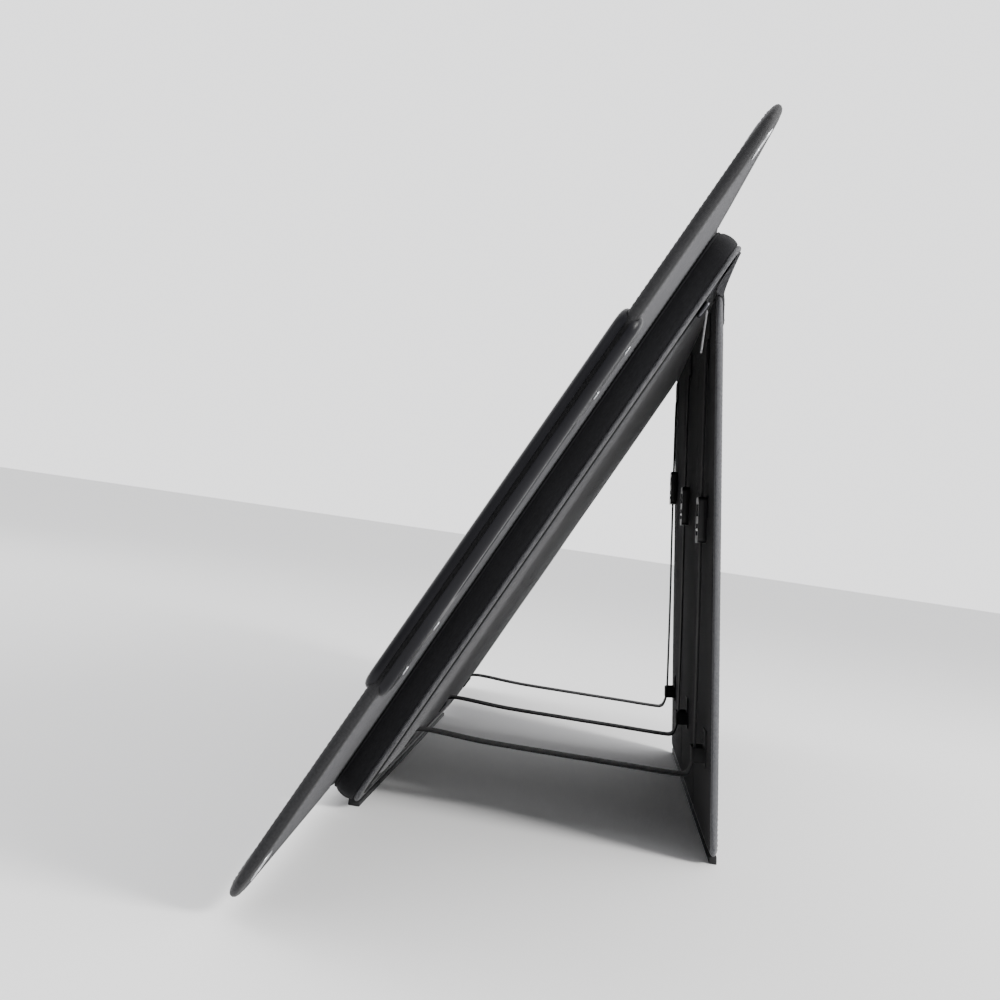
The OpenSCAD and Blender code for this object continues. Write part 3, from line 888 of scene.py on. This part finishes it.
def case_rim():
    """Corded piping, its seam, and the flange that the zipper is sewn to."""
    lo, hi = LEAN.box("case_piping")
    radius = (hi[1] - lo[1]) / 2
    low, high = within(lo, hi, radius)
    level = (lo[1] + hi[1]) / 2
    path, out, side = flat_loop(LEAN, low, high, CASE_R - radius, level, 5 * MM)
    points, faces = sweep(path, out, side, circle(radius, 14), closed=True)
    piece("case_corded_piping", points, faces, PIPING, "case", "piping", ("case_piping",), 80)
    inset = radius + 1.0 * MM
    low2, high2 = (low[0] + inset, low[1] + inset), (high[0] - inset, high[1] - inset)
    row = flat_loop(LEAN, low2, high2, CASE_R - radius - inset, hi[1] - 0.6 * MM, 6 * MM)
    piece("case_piping_stitches", *stitches(*row), THREAD, "case", "piping")
    # the flange
    pad_lo, _ = LEAN.box("case_back_pad")
    width = 15 * MM
    ring = within(lo, hi, 2 * radius)
    path, out, side = flat_loop(LEAN, *ring, CASE_R - 2 * radius, pad_lo[1] + 2.5 * MM, 6 * MM)
    profile = [(0, -2.4 * MM), (0, 2.2 * MM), (-0.8 * MM, 2.5 * MM)]
    profile += [(-width, 2.5 * MM), (-width, -2.4 * MM)]
    piece("case_zip_flange", *sweep(path, out, side, profile, closed=True), GUSSET, "case",
          "gusset_fabric", (), 60)


case_rim()


def open_loop(lo, hi, radius, top):
    """Left side, bottom and right side of a rounded rectangle, from the top of one to the other."""
    points, normals = [np.array([lo[0], top])], [np.array([-1.0, 0])]
    for middle, start in (((lo[0] + radius, lo[1] + radius), 180), ((hi[0] - radius, lo[1] + radius), 270)):
        for angle in np.radians(np.linspace(start, start + 90, 9)):
            normal = np.array([math.cos(angle), math.sin(angle)])
            points.append(np.array(middle) + radius * normal)
            normals.append(normal)
    points.append(np.array([hi[0], top]))
    normals.append(np.array([1.0, 0]))
    return resample(np.array(points), np.array(normals), 6 * MM)


def zipper():
    lo, hi = LEAN.box("zipper_tape")
    width = 11 * MM
    middle = width / 2
    low, high = (lo[0] + middle, lo[2] + middle), (hi[0] - middle, hi[2])
    points, normals = open_loop(low, high, 13.5 * MM, hi[2])
    path, out, side = laid(LEAN, points, normals, lo[1])
    half = width / 2
    tape = [(half, 0), (half, 0.7 * MM), (1.6 * MM, 0.85 * MM), (-1.6 * MM, 0.85 * MM),
            (-half, 0.7 * MM), (-half, 0)]
    piece("zipper_tape_band", *sweep(path, out, side, tape), TAPE, "case", "zipper_tape",
          ("zipper_tape",), 60)
    lifted = path + side * 1.35 * MM
    rows = [
        stitches(lifted + out * shift, out, side, 1.9 * MM, 2.2 * MM, 0.75 * MM, False)
        for shift in (-0.75 * MM, 0.75 * MM)
    ]
    piece("zipper_coil", *joined(rows), BUCKLE, "case", "zipper_tape")


zipper()
softened("zipper_slider", GUNMETAL, "slider", 0.9 * MM)
softened("zipper_pull", PULL_CORD, "pull", 0.4 * MM)
softened("case_base_strip", RUBBER, "case", 0.8 * MM)


SIM_FRAMES = 20


def cap_moves(rest, moved, limit):
    delta = moved - rest
    length = np.linalg.norm(delta, axis=1, keepdims=True)
    return rest + delta * np.minimum(1, limit / np.maximum(length, 1e-9))


def read_points(mesh):
    points = np.empty(len(mesh.vertices) * 3)
    mesh.vertices.foreach_get("co", points)
    return points.reshape(-1, 3)


def inflate(obj, voxel, limit, pressure=4.0):
    """Swells a closed fabric shape with a short cloth simulation."""
    remesh = obj.modifiers.new("remesh", "REMESH")
    remesh.mode = "VOXEL"
    remesh.voxel_size = voxel
    apply_modifiers(obj)
    rest = read_points(obj.data)
    cloth = obj.modifiers.new("cloth", "CLOTH")
    cloth.settings.use_pressure = True
    cloth.settings.uniform_pressure_force = pressure
    cloth.settings.quality = 4
    cloth.settings.effector_weights.gravity = 0
    cloth.point_cache.frame_start = 1
    cloth.point_cache.frame_end = SIM_FRAMES
    scene = bpy.context.scene
    for number in range(1, SIM_FRAMES + 1):
        scene.frame_set(number)
    apply_modifiers(obj)
    scene.frame_set(1)
    return cap_moves(rest, read_points(obj.data), limit)


def pad():
    lo, hi = LEAN.box("case_back_pad")
    tape_lo, tape_hi = LEAN.box("zipper_tape")
    inset = 12 * MM
    low, high = (tape_lo[0] + inset, tape_lo[2] + inset), (tape_hi[0] - inset, hi[2] - inset)
    base, top = lo[1] + 0.4 * MM, hi[1] - 0.3 * MM
    points, faces = panel(low, high, 9 * MM, flat(base), flat(top), 6 * MM)
    obj = piece("case_padded_face", LEAN.at(points), faces, PAD, None, "heather_fabric")
    local = inflate(obj, 6 * MM, 5 * MM) @ LEAN.axes.T
    x, z = local[:, 0], local[:, 2]
    edge = np.minimum.reduce([x - low[0], high[0] - x, z - low[1], high[1] - z])
    reach = np.clip(edge / (38 * MM), 0, 1)
    crown = np.sin(reach * math.pi / 2)
    wrinkle = smooth_noise(x, z, 60 * MM, 5) * 0.5 + smooth_noise(x, z, 22 * MM, 9) * 0.2
    outer = local[:, 1] > (base + top) / 2
    level = top + (1.5 * crown + 0.5 * wrinkle * crown - 2.0 * (1 - crown)) * MM
    swollen = np.clip(local[:, 1], level - 0.4 * MM, level + 1.2 * MM)
    local[:, 1] = np.where(outer, swollen, np.maximum(local[:, 1], base))
    obj.data.vertices.foreach_set("co", (local @ LEAN.axes).ravel())
    obj.data.update()
    smooth = obj.modifiers.new("smooth", "SMOOTH")
    smooth.factor, smooth.iterations = 0.5, 3
    fine = obj.modifiers.new("fine", "SUBSURF")
    fine.levels = fine.render_levels = 1
    apply_modifiers(obj)
    finish_piece(obj, PAD, "case", ("case_back_pad",), 80)
    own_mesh(obj)


pad()


def hinge_strip():
    """Fabric from the case's top rear edge to the flap."""
    lo, hi = LEAN.box("flap_hinge_strip")
    flap_lo, flap_hi = FLAP.box("flap_cover")

    def on_case(y, z):
        return LEAN.at((0, lo[1] + y * MM, hi[2] + z * MM))

    def on_flap(y, z, level=flap_hi[1]):
        return FLAP.at((0, level + y * MM, z * MM))

    outer = [on_case(-0.4, 2), on_case(0.7, -6), on_flap(1.0, 1), on_flap(0.75, -8), on_flap(0.65, -26)]
    inner = [on_case(-1.6, 2), on_case(-1.2, -8), on_flap(-4.2, 2, flap_lo[1]), on_flap(-0.6, -7)]
    inner.append(on_flap(-0.5, -26))
    line, under = catmull(outer, 10), catmull(inner, 10)
    normal = normals_along(line, ACROSS)
    xs = np.linspace(flap_lo[0] - 3 * MM, flap_hi[0] + 3 * MM, 90)
    points = []
    for route in (line, under):
        for p, n, k in zip(route, normal, np.linspace(0, 1, len(line))):
            for x in xs:
                wave = 0.35 * MM * math.sin(math.pi * k) * float(smooth_noise(x, k * 0.04, 30 * MM, 13))
                points.append(p + n * wave + np.array((x, 0, 0)))
    faces = shell_faces(len(line), len(xs))
    strip = piece("flap_hinge_fabric", points, faces, FLAP_TOP, None, "heather_fabric")
    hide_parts("flap_hinge_strip")
    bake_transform(strip)
    rows = []
    for z in (-10 * MM, -22 * MM):
        row = np.array([FLAP.at((x, flap_hi[1] + 1.35 * MM, z)) for x in xs])
        rows.append(stitches(row, [FLAP.z] * len(row), [FLAP.y] * len(row), closed=False))
    piece("flap_hinge_stitches", *joined(rows), THREAD, "flap", "heather_fabric")


hinge_strip()

STRAPS = {name: (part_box(f"{name}_strap_span")[0].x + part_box(f"{name}_strap_span")[1].x) / 2
          for name in ("right", "centre", "left")}


def box_stitch(place, lo, hi, level):
    """Stitched rectangle with a cross in it."""
    corners = [(lo[0], lo[1]), (hi[0], lo[1]), (hi[0], hi[1]), (lo[0], hi[1]), (lo[0], lo[1]),
               (hi[0], hi[1])]
    lines = list(zip(corners[:-1], corners[1:])) + [((hi[0], lo[1]), (lo[0], hi[1]))]
    rows = []
    for a, b in lines:
        ends = place.at([(a[0], level, a[1]), (b[0], level, b[1])])
        rows.append(stitches(ends, [place.x] * 2, [place.y] * 2, 3 * MM, 2 * MM, 0.3 * MM, False))
    return rows


def anchors():
    lo, hi = LEAN.box("strap_anchors")
    patches, threads = [], []
    for x in STRAPS.values():
        low, high = (x - 16 * MM, lo[2]), (x + 16 * MM, hi[2])
        crown = lambda u, w: hi[1] - 0.4 * MM + 0.3 * MM * np.cos((u - x) / (16 * MM)) + 0 * w
        points, faces = panel(low, high, 3 * MM, flat(lo[1] - 1.5 * MM), crown, 3 * MM)
        patches.append((list(LEAN.at(points)), faces))
        inner = 3.2 * MM
        threads += box_stitch(LEAN, (low[0] + inner, low[1] + inner), (high[0] - inner, high[1] - inner),
                              hi[1] - 0.05 * MM)
    piece("strap_anchor_patches", *joined(patches), WEBBING, "case", "webbing", ("strap_anchors",))
    piece("strap_anchor_stitches", *joined(threads), THREAD, "case", "webbing")


anchors()
for node_name, finish in (("regulator_housing", HOUSING), ("regulator_cover", HOUSING),
                          ("regulator_board", MASK), ("output_sockets", STEEL)):
    set_material(node_name, finish)


# ---- flap


def flap_skins():
    lo, hi = FLAP.box("flap_binding")
    low, high = within(lo, hi, 4.2 * MM)
    _, board_hi = FLAP.box("flap_board_centre")
    side_lo, _ = FLAP.box("flap_board_right")
    seam = (board_hi[0] + side_lo[0]) / 2
    lining_lo, lining_hi = FLAP.box("flap_lining")
    cover_lo, cover_hi = FLAP.box("flap_cover")

    def furrow(x):
        near = np.minimum(abs(x - seam), abs(x + seam))
        return np.exp(-((near / (3.2 * MM)) ** 2))

    def inner(x, z):
        swell = 0.25 * MM * smooth_noise(x, z, 55 * MM, 21)
        return lining_lo[1] - 0.25 * MM + 0.75 * MM * furrow(x) + swell * (1 - furrow(x))

    def outer(x, z):
        return cover_hi[1] + 0.3 * MM * smooth_noise(x, z, 55 * MM, 23) - 0.8 * MM * furrow(x)

    points, faces = panel(low, high, 6 * MM, inner, flat(lining_hi[1]), 5 * MM)
    piece("flap_inner_fabric", FLAP.at(points), faces, LINING, "flap", "gusset_fabric",
          ("flap_lining",), 60)
    points, faces = panel(low, high, 6 * MM, flat(cover_lo[1]), outer, 5 * MM)
    piece("flap_outer_fabric", FLAP.at(points), faces, FLAP_TOP, "flap", "heather_fabric",
          ("flap_cover",), 60)
    rows = []
    for x in (-seam, seam):
        for shift in (-2.6 * MM, 2.6 * MM):
            for level in (lining_lo[1] + 0.1 * MM, cover_hi[1] - 0.15 * MM):
                ends = FLAP.at([(x + shift, level, low[1] + 6 * MM), (x + shift, level, high[1] - 6 * MM)])
                rows.append(stitches(ends, [FLAP.x] * 2, [FLAP.y] * 2, closed=False))
    piece("flap_channel_stitches", *joined(rows), THREAD, "flap", "heather_fabric")
    for field in ("right", "centre", "left"):
        set_material(f"flap_board_{field}", CORE)


flap_skins()
bound_edge("flap_edge_binding", "flap_binding", FLAP, 10 * MM, 5 * MM, PALE_BINDING, "flap", "piping")
softened("flap_foot", RUBBER, "flap", 0.7 * MM)


# ---- straps


WEB_W, WEB_T = 20 * MM, 1.4 * MM
RUN_TOP, RUN_OFF = 40 * MM, 3 * MM


def straps():
    keeper_lo, keeper_hi = FLAP.box("strap_keepers")
    bases, loops, threads = [], [], []
    for name, x in STRAPS.items():
        span_lo, span_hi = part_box(f"{name}_strap_span")
        run_lo, _ = FLAP.box(f"{name}_strap_run")
        _, anchor_hi = LEAN.box("strap_anchors")
        level = (span_lo.z + span_hi.z) / 2
        top = np.array(FLAP.at((x, -RUN_OFF, -RUN_TOP)))
        down = np.array(RUN_DOWN)
        length = (-RUN_TOP - run_lo[2]) / math.cos(math.radians(1.1))
        foot = top + down * (length - 16 * MM)
        near, far = span_lo.y, span_hi.y
        sag = 1.6 * MM
        route = [
            LEAN.at((x, anchor_hi[1] + 0.75 * MM, anchor_hi[2] - 12 * MM)),
            LEAN.at((x, anchor_hi[1] + 1.2 * MM, anchor_hi[2] - 3 * MM)),
            (x, near + 5 * MM, level + 1.2 * MM),
            *((x, near + share * (far - near), level - drop * sag)
              for share, drop in ((0.25, 0.7), (0.5, 1.0), (0.75, 1.1))),
            (x, far - 16 * MM, level - 1.2 * sag),
            (x, far - 5.5 * MM, level - 0.3 * sag),
            (x, foot[1] - 1.0 * MM, level + 6.5 * MM),
            foot,
        ]
        points, faces = strap(catmull(route, 9), WEB_W, WEB_T)
        span = piece(f"{name}_strap_free_span", points, faces, WEBBING, None, "webbing", (), 50)
        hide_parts(f"{name}_strap_span")
        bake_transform(span)
        seam = [
            foot - down * 0.6 * MM,
            foot - down * (length * 0.3) + np.array(RUN_BACK) * 0.3 * MM,
            foot - down * (length * 0.6) - np.array(RUN_BACK) * 0.2 * MM,
            top + down * 3 * MM,
            FLAP.at((x, -1.6 * MM, -RUN_TOP + 6 * MM)),
            FLAP.at((x, -0.75 * MM, -RUN_TOP + 14 * MM)),
            FLAP.at((x, -0.75 * MM, -RUN_TOP + 30 * MM)),
        ]
        points, faces = strap(catmull(seam, 9), WEB_W, WEB_T)
        piece(f"{name}_strap_riser", points, faces, WEBBING, "flap", "webbing",
              (f"{name}_strap_run",), 50)
        threads += box_stitch(FLAP, (x - 7.5 * MM, -RUN_TOP + 13 * MM), (x + 7.5 * MM, -RUN_TOP + 28 * MM),
                              -1.5 * MM)
        softened(f"{name}_buckle", BUCKLE, f"{name}_adjuster", 1.0 * MM)
        softened(f"{name}_buckle_bar", STEEL, f"{name}_adjuster", 0.3 * MM)
        base_lo, base_hi = (x - 13 * MM, keeper_lo[2]), (x + 13 * MM, keeper_hi[2])
        points, faces = panel(base_lo, base_hi, 2.5 * MM, flat(-1.45 * MM), flat(0.2 * MM), 3 * MM)
        bases.append((list(FLAP.at(points)), faces))
        threads += box_stitch(FLAP, (base_lo[0] + 3 * MM, base_lo[1] + 18 * MM),
                              (base_hi[0] - 3 * MM, base_hi[1] - 3 * MM), -1.5 * MM)
        arch = []
        height = -keeper_lo[1]
        for u, v in ((-12, 0.12), (-12, 0.55), (-10.6, 0.9), (-6, 1.0), (0, 1.0), (6, 1.0),
                     (10.6, 0.9), (12, 0.55), (12, 0.12)):
            arch.append((x + u * MM, -v * (height - 0.7 * MM), keeper_lo[2] + 10 * MM))
        line = np.array(FLAP.at(catmull(arch, 5)))
        normal = normals_along(line, FLAP.z)
        t, h = 0.6 * MM, 6 * MM
        band_profile = [(-t, -h + t), (0, -h), (t, -h + t), (t, h - t), (0, h), (-t, h - t)]
        loops.append(sweep(line, normal, [np.array(FLAP.z)] * len(line), band_profile))
    piece("strap_keeper_patches", *joined(bases), WEBBING, "flap", "webbing", ("strap_keepers",))
    piece("strap_keeper_loops", *joined(loops), WEBBING, "flap", "webbing", (), 60)
    piece("strap_stitches", *joined(threads), THREAD, "flap", "webbing")


straps()
